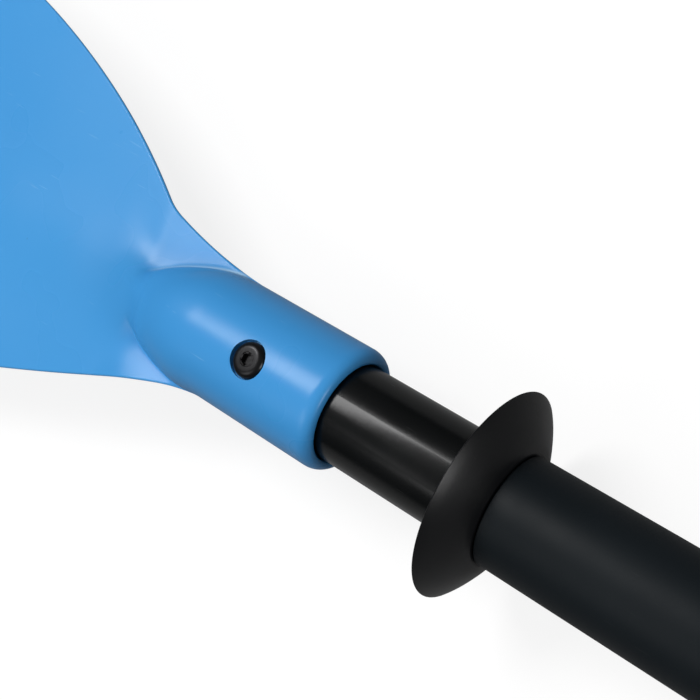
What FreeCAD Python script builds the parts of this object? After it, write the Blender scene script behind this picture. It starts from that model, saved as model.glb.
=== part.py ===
import FreeCAD, Part
import math
import os
import Sketcher

# Take-apart rowing oar: a moulded blade with a socket neck on a two-piece
# tubular shaft, with a drip ring, shaft sleeves, a stop collar and a grip.
#
# Millimetres. +X runs along the shaft from the handle to the blade's tip, +Z is
# the normal of the blade's power face and +Y runs across the blade. The origin
# is on the shaft's axis, in the middle of the seat where an oarlock holds it.

FULL_TURN = 360.0
NODE_FOLDER = "parts"
PLAN_HEIGHT = 60.0
PLAN_MARGIN = 40.0
SHEET = "sizes"
NEAR_HALF = 1.01  # an almost half-round end is drawn this much flatter

# Driving sizes: alias, value.
DRIVING = {
    # stations along the shaft
    "butt_x": -470.0,
    "joint_x": 270.0,
    "mouth_x": 690.0,
    # tubes and sleeves
    "tube_dia": 28.0,
    "tube_wall": 1.5,
    "sleeve_dia": 30.5,
    "sleeve_gap": 0.03,
    "sleeve_bevel": 0.4,
    "slip_gap": 0.06,
    "bare_half": 88.0,
    "neck_to_sleeve": 53.6,
    # blade neck: runs are measured from its mouth towards the tip
    "neck_dia": 35.8,
    "socket_gap": 0.3,
    "socket_deep": 50.0,
    "shaft_end_run": 48.0,
    "lip_round": 2.6,
    "crown_run": 47.0,
    "crown_round": 59.8,
    "shoulder_run": 66.0,
    "shoulder_half": 14.8,
    "nose_run": 106.0,
    "nose_half": 1.4,
    # blade plate: thickness, fold, hollow and lift
    "plate_thick": 5.2,
    "edge_thick": 3.4,
    "web_run": 42.0,
    "fold_run": 84.0,
    "fold_rise": 3.0,
    "root_rise": 0.0,
    "root_cup": 1.6,
    "mid_run": 200.0,
    "mid_rise": 4.2,
    "mid_cup": 4.0,
    "far_run": 320.0,
    "far_rise": 9.5,
    "far_cup": 5.0,
    "end_run": 446.0,
    "end_rise": 21.0,
    "end_cup": 4.0,
    "slab_half": 92.0,
    # blade plan: half widths and rounds
    "gusset_run": 44.0,
    "gusset_half": 17.9,
    "high_bend_run": 72.0,
    "high_bend_half": 22.0,
    "high_kink_run": 88.0,
    "high_kink_half": 28.7,
    "low_bend_run": 94.0,
    "low_bend_half": 34.0,
    "wide_run": 252.0,
    "wide_half": 75.0,
    "taper_run": 390.0,
    "taper_half": 68.0,
    "corner_run": 423.4,
    "corner_half": 49.2,
    # spine on the blade's back
    "spine_wide": 14.0,
    "spine_crest_wide": 6.0,
    "spine_run": 78.0,
    "spine_crest": -6.4,
    "spine_mid_run": 200.0,
    "spine_mid_crest": -1.4,
    "spine_end_run": 350.0,
    "spine_end_crest": 9.4,
    "edge_bevel": 1.1,
    "mouth_bevel": 0.8,
    # blade screw
    "screw_run": 25.3,
    "screw_dia": 5.0,
    "screw_head_dia": 9.5,
    "screw_head_tall": 2.75,
    "screw_crest_dia": 6.0,
    "screw_hex": 3.0,
    "screw_hex_deep": 1.6,
    "screw_long": 12.0,
    "recess_dia": 10.9,
    "recess_deep": 2.0,
    "nut_flats": 8.0,
    "nut_tall": 4.0,
    "nut_low": 5.0,
    "nut_gap": 0.1,
    "screw_gap": 0.25,
    "screw_brim": 0.5,
    "plug_flange": 1.6,
    # drip ring: a bowl whose back meets the sleeve's end
    "stop_gap": 0.3,
    "ring_bevel": 0.7,
    "ring_bulge": 24.0,
    "ring_dia": 56.1,
    "ring_hub_dia": 31.6,
    "ring_deep": 10.0,
    "ring_wall": 1.9,
    "ring_hub_long": 5.0,
    # spigot and snap button
    "spigot_half": 100.0,
    "spigot_wall": 1.5,
    "button_run": 45.0,
    "button_dia": 7.8,
    "button_gap": 0.15,
    "button_proud": 2.6,
    "button_foot_dia": 10.0,
    "spring_thick": 0.7,
    "spring_wide": 8.0,
    "spring_long": 34.0,
    "spring_gap": 0.1,
    "spring_seat": 10.1,
    "button_foot_low": 8.0,
    "button_foot_tall": 1.4,
    "button_crown": 1.6,
    "rivet_dia": 4.0,
    "rivet_head_dia": 7.0,
    "rivet_head_tall": 1.3,
    "rivet_long": 5.0,
    "rivet_run": 32.0,
    "rivet_pitch": 40.0,
    "joint_gap": 0.15,
    # stop collar
    "collar_face_x": -36.0,
    "collar_long": 36.0,
    "collar_hub_dia": 39.0,
    "flange_dia": 62.0,
    "flange_thick": 6.0,
    "lug_reach": 33.0,
    "lug_wide": 14.0,
    "lug_tall": 15.0,
    "slit_gap": 2.4,
    "lug_inset": 6.0,
    "collar_bevel": 1.6,
    "clamp_reach": 26.0,
    "clamp_sink": 3.0,
    "clamp_long": 14.5,
    "cap_head_dia": 8.5,
    "cap_hex": 4.0,
    # handle
    "grip_long": 128.0,
    "grip_dia": 34.0,
    "grip_butt_dia": 40.0,
    "grip_lip": 3.0,
    "groove_wide": 3.0,
    "groove_deep": 1.0,
    "groove_pitch": 16.0,
    "groove_count": 5,
    "cap_thick": 5.0,
    "cap_rim": 1.2,
    "cap_stem": 24.0,
    "plug_long": 42.0,
    "float_long": 60.0,
    "float_run": 110.0,
}


class Size:
    """A length that carries its number and the sheet expression behind it."""

    def __init__(self, number, text):
        self.number = number
        self.text = text

    def joined(self, other, sign, number):
        other_text = other.text if isinstance(other, Size) else repr(float(other))
        return Size(number, "(%s %s %s)" % (self.text, sign, other_text))

    def __add__(self, other):
        return self.joined(other, "+", self.number + plain(other))

    def __sub__(self, other):
        return self.joined(other, "-", self.number - plain(other))

    def __mul__(self, other):
        return self.joined(other, "*", self.number * plain(other))

    def __truediv__(self, other):
        return self.joined(other, "/", self.number / plain(other))

    def __neg__(self):
        return Size(-self.number, "(0 - %s)" % self.text)


def plain(value):
    """The number of a Size or of a plain number."""
    return value.number if isinstance(value, Size) else float(value)


def text_of(value):
    """The sheet expression of a Size or of a plain number."""
    return value.text if isinstance(value, Size) else repr(float(value))


class Sizes:
    """The sheet's driving sizes, reached as attributes."""

    def __init__(self, doc, values):
        sheet = doc.addObject("Spreadsheet::Sheet", SHEET)
        for row, (alias, value) in enumerate(values.items(), start=1):
            sheet.set("A%d" % row, alias)
            sheet.set("B%d" % row, str(value))
            sheet.setAlias("B%d" % row, alias)
            setattr(self, alias, Size(value, "%s.%s" % (SHEET, alias)))
        doc.recompute()


# ---------------------------------------------------------------- sketch tools

def origin_plane(body, role):
    """One of the body's own planes or axes."""
    for feature in body.Origin.OriginFeatures:
        if feature.Role == role:
            return feature
    raise ValueError("no origin plane " + role)


def sketch_on(body, name, role, offset=0.0, side=0.0):
    """A sketch on one of the body's planes, moved along its normal by offset
    and along its own first axis by side."""
    sketch = body.newObject("Sketcher::SketchObject", name)
    sketch.AttachmentSupport = [(origin_plane(body, role), "")]
    sketch.MapMode = "FlatFace"
    if isinstance(offset, Size) or offset:
        sketch.setExpression("AttachmentOffset.Base.z", text_of(offset))
    if isinstance(side, Size) or side:
        sketch.setExpression("AttachmentOffset.Base.x", text_of(side))
    return sketch


def arc_between(start, end, radius, bend):
    """Circle arc from start to end, bulging to the left of the run when bend
    is +1 and to the right when it is -1."""
    chord = end - start
    half = chord.Length / 2
    rise = radius - math.sqrt(radius * radius - half * half)
    left = FreeCAD.Vector(-chord.y, chord.x, 0).normalize()
    crown = (start + end) * 0.5 + left * (bend * rise)
    return Part.Arc(start, crown, end)


def pin_point(sketch, geometry, point, x, y):
    """Fix a point of the sketch at the two sizes x and y."""
    for kind, value in (("DistanceX", x), ("DistanceY", y)):
        index = sketch.addConstraint(
            Sketcher.Constraint(kind, -1, 1, geometry, point, plain(value)))
        if isinstance(value, Size):
            sketch.setExpression("Constraints[%d]" % index, value.text)


def outline(sketch, points, arcs=None):
    """A closed outline through points. arcs maps the number of a stretch to
    its (radius, bend); other stretches are straight."""
    arcs = arcs or {}
    vectors = [FreeCAD.Vector(plain(x), plain(y), 0) for x, y in points]
    count = len(points)
    first = len(sketch.Geometry)
    for i in range(count):
        start, end = vectors[i], vectors[(i + 1) % count]
        if i in arcs:
            radius, bend = arcs[i]
            sketch.addGeometry(arc_between(start, end, plain(radius), bend), False)
        else:
            sketch.addGeometry(Part.LineSegment(start, end), False)
    ends = [outline_ends(sketch, first + i, vectors[i]) for i in range(count)]
    for i in range(count):
        start_point, end_point = ends[i]
        following = (i + 1) % count
        sketch.addConstraint(Sketcher.Constraint(
            "Coincident", first + i, end_point, first + following, ends[following][0]))
        pin_point(sketch, first + i, start_point, *points[i])
        if i in arcs:
            index = sketch.addConstraint(
                Sketcher.Constraint("Radius", first + i, plain(arcs[i][0])))
            if isinstance(arcs[i][0], Size):
                sketch.setExpression("Constraints[%d]" % index, arcs[i][0].text)


def outline_ends(sketch, index, start):
    """Which of a stretch's two ends (1 or 2) lies at start, and the other."""
    gap = (sketch.getPoint(index, 1) - start).Length
    other_gap = (sketch.getPoint(index, 2) - start).Length
    return (1, 2) if gap <= other_gap else (2, 1)


def ring_outline(sketch, x, y, radius):
    """A full circle round the point x, y."""
    centre = FreeCAD.Vector(plain(x), plain(y), 0)
    index = sketch.addGeometry(
        Part.Circle(centre, FreeCAD.Vector(0, 0, 1), plain(radius)), False)
    pin_point(sketch, index, 3, x, y)
    constraint = sketch.addConstraint(Sketcher.Constraint("Radius", index, plain(radius)))
    if isinstance(radius, Size):
        sketch.setExpression("Constraints[%d]" % constraint, radius.text)


def hexagon(sketch, x, y, flats):
    """A hexagon of the given width across flats, corners on its second axis."""
    corner = flats / math.sqrt(3.0)
    points = []
    for i in range(6):
        angle = math.radians(30 + 60 * i)
        points.append((corner * math.cos(angle) + x, corner * math.sin(angle) + y))
    outline(sketch, points)


# ---------------------------------------------------------------- feature tools

def new_body(doc, label):
    body = doc.addObject("PartDesign::Body", label)
    body.Label = label
    return body


def add_feature(body, kind, name, sketch):
    feature = body.newObject(kind, name)
    feature.Profile = sketch
    sketch.Visibility = False
    body.Tip = feature
    return feature


def revolve(body, name, sketch, kind="PartDesign::Revolution"):
    """Turn a sketch on the XZ plane fully round the shaft's axis."""
    feature = add_feature(body, kind, name, sketch)
    feature.ReferenceAxis = (sketch, ["H_Axis"])
    feature.Angle = FULL_TURN
    return feature


def revolve_upright(body, name, sketch, kind="PartDesign::Revolution"):
    """Turn a sketch fully round its own second axis."""
    feature = add_feature(body, kind, name, sketch)
    feature.ReferenceAxis = (sketch, ["V_Axis"])
    feature.Angle = FULL_TURN
    return feature


def pad(body, name, sketch, length, both_ways=False):
    feature = add_feature(body, "PartDesign::Pad", name, sketch)
    feature.setExpression("Length", text_of(length))
    feature.Midplane = both_ways
    return feature


def cut(body, name, sketch, length, reverse=False, both_ways=False):
    feature = add_feature(body, "PartDesign::Pocket", name, sketch)
    feature.setExpression("Length", text_of(length))
    feature.Reversed = reverse
    feature.Midplane = both_ways
    return feature


def dress(body, name, kind, base, edges, size):
    """Round or chamfer the named edges of a feature."""
    feature = body.newObject(kind, name)
    feature.Base = (base, edges)
    key = "Radius" if kind.endswith("Fillet") else "Size"
    feature.setExpression(key, text_of(size))
    body.Tip = feature
    return feature


def edges_where(feature, test):
    """Names of the feature's edges whose middle point passes the test."""
    names = []
    for number, edge in enumerate(feature.Shape.Edges, start=1):
        middle = edge.valueAt((edge.FirstParameter + edge.LastParameter) / 2)
        if test(edge, middle):
            names.append("Edge%d" % number)
    return names


def tube(body, name, start, end, inner, outer):
    """A plain tube along the shaft's axis."""
    sketch = sketch_on(body, name + "_profile", "XZ_Plane")
    outline(sketch, [(start, inner), (end, inner), (end, outer), (start, outer)])
    return revolve(body, name, sketch)


# ---------------------------------------------------------------- the pieces

def crescent(sketch, half, rise, thick, edge, cup):
    """Cross-section of the blade plate: both faces sag by cup between edges
    that stand cup above the middle."""
    top = rise + cup + edge / 2
    bottom = rise + cup - edge / 2
    upper_sag = cup + edge / 2 - thick / 2
    lower_sag = cup - edge / 2 + thick / 2
    outline(
        sketch,
        [(-half, top), (half, top), (half, bottom), (-half, bottom)],
        {0: (arc_radius(half, upper_sag), -1), 2: (arc_radius(half, lower_sag), 1)})


def arc_radius(half_chord, sag):
    return (half_chord * half_chord + sag * sag) / (sag * 2)


def loft(body, name, sketches, ruled=False):
    feature = body.newObject("PartDesign::AdditiveLoft", name)
    feature.Profile = sketches[0]
    feature.Sections = sketches[1:]
    feature.Ruled = ruled
    for sketch in sketches:
        sketch.Visibility = False
    body.Tip = feature
    return feature


def arc_chain(sketch, points, heading):
    """Arcs through points, each tangent to the one before. heading is the
    direction of the first one in degrees, 0 or 180, and sets its radius."""
    angle = math.radians(heading)
    vectors = [FreeCAD.Vector(plain(x), plain(y), 0) for x, y in points]
    previous = None
    for i in range(len(points) - 1):
        chord = vectors[i + 1] - vectors[i]
        turn = math.remainder(math.atan2(chord.y, chord.x) - angle, 2 * math.pi)
        radius = chord.Length / (2 * math.sin(abs(turn)))
        bend = -1 if turn > 0 else 1
        index = sketch.addGeometry(arc_between(vectors[i], vectors[i + 1], radius, bend), False)
        start, end = outline_ends(sketch, index, vectors[i])
        pin_point(sketch, index, end, *points[i + 1])
        if previous is None:
            pin_point(sketch, index, start, *points[i])
            width = points[i + 1][0] - points[i][0]
            rise = points[i + 1][1] - points[i][1]
            size = arc_radius(width, rise if rise.number > 0 else -rise)
            number = sketch.addConstraint(Sketcher.Constraint("Radius", index, size.number))
            sketch.setExpression("Constraints[%d]" % number, size.text)
        else:
            sketch.addConstraint(Sketcher.Constraint("Tangent", *previous, index, start))
        previous = (index, end)
        angle += 2 * turn


def blade_plan(sketch, s):
    """Plan of the blade. From the widest place on each side, arcs run forward
    round the tip and back down the flank to the gusset."""
    m = s.mouth_x
    high_wide = (m + s.wide_run, -s.wide_half)
    low_wide = (m + s.wide_run, s.wide_half)
    high_corner = (m + s.corner_run, -s.corner_half)
    low_corner = (m + s.corner_run, s.corner_half)
    high_root = (m + s.gusset_run, -s.gusset_half)
    low_root = (m + s.gusset_run, s.gusset_half)
    arc_chain(sketch, [high_wide, (m + s.taper_run, -s.taper_half), high_corner, low_corner], 0)
    arc_chain(sketch, [low_wide, (m + s.taper_run, s.taper_half), low_corner], 0)
    arc_chain(sketch, [
        high_wide, (m + s.high_kink_run, -s.high_kink_half),
        (m + s.high_bend_run, -s.high_bend_half), high_root], 180)
    arc_chain(sketch, [low_wide, (m + s.low_bend_run, s.low_bend_half), low_root], 180)
    root = sketch.addGeometry(Part.LineSegment(
        FreeCAD.Vector(plain(low_root[0]), plain(low_root[1]), 0),
        FreeCAD.Vector(plain(high_root[0]), plain(high_root[1]), 0)), False)
    pin_point(sketch, root, 1, *low_root)
    pin_point(sketch, root, 2, *high_root)


def make_blade(doc, s):
    """Moulded blade: folded and hollowed plate, gussets and a socket neck that
    ends in a nose on the blade's face."""
    body = new_body(doc, "blade")
    add_plate(body, s)
    trim_plate(body, s)
    doc.recompute()
    add_neck(body, s)
    add_spine(body, s)
    doc.recompute()
    cut_socket(body, s)
    return body


def add_plate(body, s):
    """The gusset web rises to the fold; the plate behind it is a shallow spoon."""
    root = ("web_root", s.web_run, s.root_rise, s.root_cup)
    fold = ("web_fold", s.fold_run, s.fold_rise, s.root_cup)
    loft(body, "gusset_web", [plate_section(body, s, *root), plate_section(body, s, *fold)],
         ruled=True)
    stations = (
        ("plate_fold", s.fold_run, s.fold_rise, s.root_cup),
        ("plate_mid", s.mid_run, s.mid_rise, s.mid_cup),
        ("plate_far", s.far_run, s.far_rise, s.far_cup),
        ("plate_end", s.end_run, s.end_rise, s.end_cup),
    )
    loft(body, "spoon_plate", [plate_section(body, s, *station) for station in stations])


def plate_section(body, s, name, run, rise, cup):
    sketch = sketch_on(body, name, "YZ_Plane", s.mouth_x + run)
    crescent(sketch, s.slab_half, rise, s.plate_thick, s.edge_thick, cup)
    return sketch


def trim_plate(body, s):
    """Cut the slab back to the blade's plan and bevel its edges."""
    plan = sketch_on(body, "blade_plan", "XY_Plane", PLAN_HEIGHT)
    far_side = s.slab_half + PLAN_MARGIN
    far_end = s.mouth_x + s.end_run + PLAN_MARGIN
    outline(plan, [
        (s.mouth_x, -far_side), (far_end, -far_side),
        (far_end, far_side), (s.mouth_x, far_side)])
    blade_plan(plan, s)
    trim = cut(body, "blade_trim", plan, PLAN_HEIGHT * 2)
    body.Document.recompute()

    def on_plan(edge, middle):
        level = edge.tangentAt((edge.FirstParameter + edge.LastParameter) / 2).z
        above = Part.Vertex(middle.x, middle.y, PLAN_HEIGHT)
        return abs(level) < 0.5 and above.distToShape(plan.Shape)[0] < 0.01

    names = edges_where(trim, on_plan)
    dress(body, "edge_bevel", "PartDesign::Chamfer", trim, names, s.edge_bevel)


def add_neck(body, s):
    """Socket neck with a rounded mouth; its crown runs down into a nose."""
    m = s.mouth_x
    neck = s.neck_dia / 2
    sketch = sketch_on(body, "neck_profile", "XZ_Plane")
    points = [
        (m, 0.0), (m, neck - s.lip_round), (m + s.lip_round, neck), (m + s.crown_run, neck),
        (m + s.shoulder_run, s.shoulder_half), (m + s.nose_run, s.nose_half),
        (m + s.nose_run, 0.0)]
    outline(sketch, points, {1: (s.lip_round, 1), 3: (s.crown_round, 1)})
    revolve(body, "neck", sketch)


def add_spine(body, s):
    """Stiffening spine down the middle of the blade's back."""
    stations = (
        ("spine_root", s.spine_run, s.spine_crest, 1.0),
        ("spine_mid", s.spine_mid_run, s.spine_mid_crest, 0.8),
        ("spine_end", s.spine_end_run, s.spine_end_crest, 0.5),
    )
    sketches = []
    for name, run, crest, share in stations:
        sketch = sketch_on(body, name, "YZ_Plane", s.mouth_x + run)
        base = s.spine_wide / 2 * share
        top = s.spine_crest_wide / 2 * share
        outline(sketch, [
            (-base, crest + s.plate_thick), (base, crest + s.plate_thick),
            (top, crest), (-top, crest)])
        sketches.append(sketch)
    loft(body, "spine", sketches)


def cut_socket(body, s):
    """Bore the neck for the shaft, with a bevelled mouth, and sink the screw."""
    m = s.mouth_x
    bore = s.tube_dia / 2 + s.socket_gap
    sketch = sketch_on(body, "socket_profile", "XZ_Plane")
    outline(sketch, [
        (m - s.lip_round, 0.0), (m + s.socket_deep, 0.0), (m + s.socket_deep, bore),
        (m + s.mouth_bevel, bore), (m - s.mouth_bevel, bore + s.mouth_bevel * 2),
        (m - s.lip_round, bore + s.mouth_bevel * 2)])
    revolve(body, "socket", sketch, "PartDesign::Groove")
    station = m + s.screw_run
    recess = sketch_on(body, "recess_profile", "XY_Plane", s.neck_dia / 2 - s.recess_deep)
    ring_outline(recess, station, 0.0, s.recess_dia / 2)
    cut(body, "screw_recess", recess, s.neck_dia / 2, reverse=True)
    hole = sketch_on(body, "screw_hole_profile", "XY_Plane")
    ring_outline(hole, station, 0.0, s.screw_dia / 2 + s.screw_gap)
    cut(body, "screw_hole", hole, s.neck_dia, reverse=True)


def make_blade_screw(doc, s):
    """Button-head screw through the neck, with a hexagon socket."""
    body = new_body(doc, "blade_screw")
    seat = s.neck_dia / 2 - s.recess_deep
    top = seat + s.screw_head_tall
    shank = s.screw_dia / 2
    sketch = sketch_on(body, "screw_profile", "XZ_Plane", side=s.mouth_x + s.screw_run)
    outline(sketch, [
        (0.0, seat - s.screw_long), (shank, seat - s.screw_long), (shank, seat),
        (s.screw_head_dia / 2, seat), (s.screw_head_dia / 2, seat + s.screw_brim * 2),
        (s.screw_crest_dia / 2, top), (0.0, top)])
    revolve_upright(body, "screw_turned", sketch)
    hexed = sketch_on(body, "hex_profile", "XY_Plane", top)
    hexagon(hexed, s.mouth_x + s.screw_run, 0.0, s.screw_hex)
    cut(body, "hex_socket", hexed, s.screw_hex_deep)
    return body


def make_socket_plug(doc, s):
    """Plug that closes the shaft's blade end and holds the screw's nut."""
    body = new_body(doc, "socket_plug")
    end = s.mouth_x + s.shaft_end_run
    inner = s.tube_dia / 2 - s.tube_wall - s.slip_gap
    sketch = sketch_on(body, "plug_profile", "XZ_Plane")
    outline(sketch, [
        (end - s.plug_long, 0.0), (end + s.plug_flange, 0.0),
        (end + s.plug_flange, s.tube_dia / 2), (end, s.tube_dia / 2),
        (end, inner), (end - s.plug_long, inner)])
    revolve(body, "plug_turned", sketch)
    station = s.mouth_x + s.screw_run
    hole = sketch_on(body, "plug_hole_profile", "XY_Plane")
    ring_outline(hole, station, 0.0, s.screw_dia / 2 + s.screw_gap)
    cut(body, "plug_hole", hole, s.tube_dia, reverse=True)
    pocket = sketch_on(body, "nut_pocket_profile", "XY_Plane", s.nut_low + s.nut_tall + s.nut_gap)
    hexagon(pocket, station, 0.0, s.nut_flats + s.nut_gap * 2)
    cut(body, "nut_pocket", pocket, s.tube_dia)
    return body


def make_hex_nut(doc, s, label, x, y, low):
    """Hexagon nut with its axis along Z."""
    body = new_body(doc, label)
    sketch = sketch_on(body, label + "_profile", "XY_Plane", low)
    hexagon(sketch, x, y, s.nut_flats)
    ring_outline(sketch, x, y, s.screw_dia / 2 + s.nut_gap / 2)
    pad(body, label + "_pad", sketch, s.nut_tall)
    return body


def radial_hole(body, name, station, radius, reach):
    """Round hole through the wall on the +Z side only."""
    sketch = sketch_on(body, name + "_profile", "XY_Plane")
    ring_outline(sketch, station, 0.0, radius)
    cut(body, name, sketch, reach, reverse=True)


def cross_holes(body, name, stations, radius, reach):
    """Round holes along Y through both walls, one at each station."""
    sketch = sketch_on(body, name + "_profile", "XZ_Plane")
    for station in stations:
        ring_outline(sketch, station, 0.0, radius)
    cut(body, name, sketch, reach, both_ways=True)


def rivet_stations(s):
    first = s.joint_x - s.rivet_run
    return [first, first - s.rivet_pitch]


def make_lower_shaft(doc, s):
    """Blade half of the shaft, drilled for the snap button and the screw."""
    body = new_body(doc, "lower_shaft")
    outer = s.tube_dia / 2
    tube(body, "lower_tube", s.joint_x + s.joint_gap, s.mouth_x + s.shaft_end_run,
         outer - s.tube_wall, outer)
    button_hole = s.button_dia / 2 + s.button_gap
    radial_hole(body, "button_hole", s.joint_x + s.button_run, button_hole, s.tube_dia)
    radial_hole(body, "shaft_screw_hole", s.mouth_x + s.screw_run,
                s.screw_dia / 2 + s.screw_gap, s.tube_dia)
    return body


def make_upper_shaft(doc, s):
    """Handle half of the shaft, drilled for the spigot's rivets."""
    body = new_body(doc, "upper_shaft")
    outer = s.tube_dia / 2
    tube(body, "upper_tube", s.butt_x, s.joint_x - s.joint_gap, outer - s.tube_wall, outer)
    cross_holes(body, "shaft_rivet_holes", rivet_stations(s), s.rivet_dia / 2 + s.slip_gap,
                s.tube_dia * 2)
    return body


def make_spigot(doc, s):
    """Tube riveted into the handle half; the blade half slides over it."""
    body = new_body(doc, "spigot")
    outer = s.tube_dia / 2 - s.tube_wall - s.slip_gap
    tube(body, "spigot_tube", s.joint_x - s.spigot_half, s.joint_x + s.spigot_half,
         outer - s.spigot_wall, outer)
    radial_hole(body, "spigot_button_hole", s.joint_x + s.button_run,
                s.button_dia / 2 + s.button_gap, s.tube_dia)
    cross_holes(body, "spigot_rivet_holes", rivet_stations(s), s.rivet_dia / 2 + s.slip_gap,
                s.tube_dia * 2)
    return body


def make_spigot_rivets(doc, s):
    """Four blind rivets, their heads saddled on the shaft."""
    body = new_body(doc, "spigot_rivets")
    body.AllowCompound = True
    shaft = s.tube_dia / 2
    station = rivet_stations(s)[0]
    head = sketch_on(body, "rivet_head_profile", "XY_Plane", side=station)
    top = shaft + s.rivet_head_tall
    outline(head, [
        (0.0, shaft - s.rivet_head_tall), (s.rivet_head_dia / 2, shaft - s.rivet_head_tall),
        (s.rivet_head_dia / 2, top), (0.0, top)])
    revolve_upright(body, "rivet_head", head)
    saddle = sketch_on(body, "rivet_saddle_profile", "XZ_Plane")
    outline(saddle, [
        (station - s.rivet_head_dia, 0.0), (station + s.rivet_head_dia, 0.0),
        (station + s.rivet_head_dia, shaft), (station - s.rivet_head_dia, shaft)])
    revolve(body, "rivet_saddle", saddle, "PartDesign::Groove")
    shank = sketch_on(body, "rivet_shank_profile", "XY_Plane", side=station)
    outline(shank, [
        (0.0, shaft - s.rivet_long), (s.rivet_dia / 2, shaft - s.rivet_long),
        (s.rivet_dia / 2, shaft + s.slip_gap), (0.0, shaft + s.slip_gap)])
    revolve_upright(body, "rivet_shank", shank)
    doc.recompute()
    spread(body, s)
    return body


def spread(body, s):
    """Repeat a rivet along the shaft, and both on the shaft's other side."""
    row = body.newObject("PartDesign::LinearPattern", "rivet_row")
    row.TransformMode = "Whole shape"
    row.Direction = (origin_plane(body, "X_Axis"), [""])
    row.Reversed = True
    row.setExpression("Length", s.rivet_pitch.text)
    row.Occurrences = 2
    body.Tip = row
    body.Document.recompute()
    sides = body.newObject("PartDesign::Mirrored", "rivet_sides")
    sides.TransformMode = "Whole shape"
    sides.MirrorPlane = (origin_plane(body, "XZ_Plane"), [""])
    body.Tip = sides


def make_sleeve(doc, s, label, start, end):
    """Thin soft sleeve drawn over the shaft, its ends bevelled."""
    body = new_body(doc, label)
    inner = s.tube_dia / 2 + s.sleeve_gap
    outer = s.sleeve_dia / 2
    sketch = sketch_on(body, label + "_profile", "XZ_Plane")
    outline(sketch, [
        (start, inner), (end, inner), (end, outer - s.sleeve_bevel),
        (end - s.sleeve_bevel, outer), (start + s.sleeve_bevel, outer),
        (start, outer - s.sleeve_bevel)])
    revolve(body, label + "_turned", sketch)
    return body


def make_drip_ring(doc, s):
    """Soft bowl on a short hub, open towards the blade, with a bevelled rim."""
    body = new_body(doc, "drip_ring")
    back = s.mouth_x - s.neck_to_sleeve + s.stop_gap
    rim = s.mouth_x - s.neck_to_sleeve + s.ring_deep
    bore = s.tube_dia / 2 + s.slip_gap
    hub = s.ring_hub_dia / 2
    edge = s.ring_dia / 2
    bevel = s.ring_bevel
    inside = back + s.ring_hub_long
    sketch = sketch_on(body, "ring_profile", "XZ_Plane")
    outline(sketch, [
        (back, bore), (back, hub), (rim - bevel, edge), (rim, edge - bevel),
        (rim, edge - s.ring_wall), (inside, hub), (inside, bore)],
        {1: (s.ring_bulge, 1)})
    revolve(body, "ring_turned", sketch)
    return body


def make_snap_button(doc, s):
    """Bevelled pin that locks the two halves, with a foot that keeps it inside."""
    body = new_body(doc, "snap_button")
    top = s.tube_dia / 2 + s.button_proud
    half = s.button_dia / 2
    foot = s.button_foot_dia / 2
    low = s.button_foot_low
    sketch = sketch_on(body, "button_profile", "XZ_Plane", side=s.joint_x + s.button_run)
    outline(sketch, [
        (0.0, low), (foot, low), (foot, low + s.button_foot_tall),
        (half, low + s.button_foot_tall), (half, top - s.button_crown),
        (half - s.button_crown, top), (0.0, top)])
    revolve_upright(body, "button_turned", sketch)
    return body


def make_snap_spring(doc, s):
    """Folded leaf spring: its upper leaf lifts the button's foot and its lower
    leaf rests on the spigot's wall."""
    body = new_body(doc, "snap_spring")
    high = s.button_foot_low - s.spring_gap
    low = -s.spring_seat
    near = s.joint_x + s.button_run + s.spring_wide / 2
    bend = s.joint_x + s.button_run - s.spring_long
    thick = s.spring_thick
    sketch = sketch_on(body, "spring_profile", "XZ_Plane")
    outer = (high + s.spring_seat) / 2
    outline(sketch, [
        (near, high), (bend, high), (bend, low), (near, low),
        (near, low + thick), (bend, low + thick), (bend, high - thick), (near, high - thick)],
        {1: (outer * NEAR_HALF, -1), 5: ((outer - thick) * NEAR_HALF, 1)})
    pad(body, "spring_leaf", sketch, s.spring_wide, both_ways=True)
    return body


def make_float_plug(doc, s, label, start):
    """Foam plug that keeps water out of one half of the shaft."""
    body = new_body(doc, label)
    radius = s.tube_dia / 2 - s.tube_wall - s.slip_gap
    sketch = sketch_on(body, label + "_profile", "XZ_Plane")
    outline(sketch, [
        (start, 0.0), (start + s.float_long, 0.0), (start + s.float_long, radius),
        (start, radius)])
    revolve(body, label + "_turned", sketch)
    return body


def clamp_place(s):
    """Axis of the collar's clamp screw."""
    x = s.collar_face_x - s.collar_long + s.lug_inset + s.lug_wide / 2
    return x, s.clamp_reach


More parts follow.
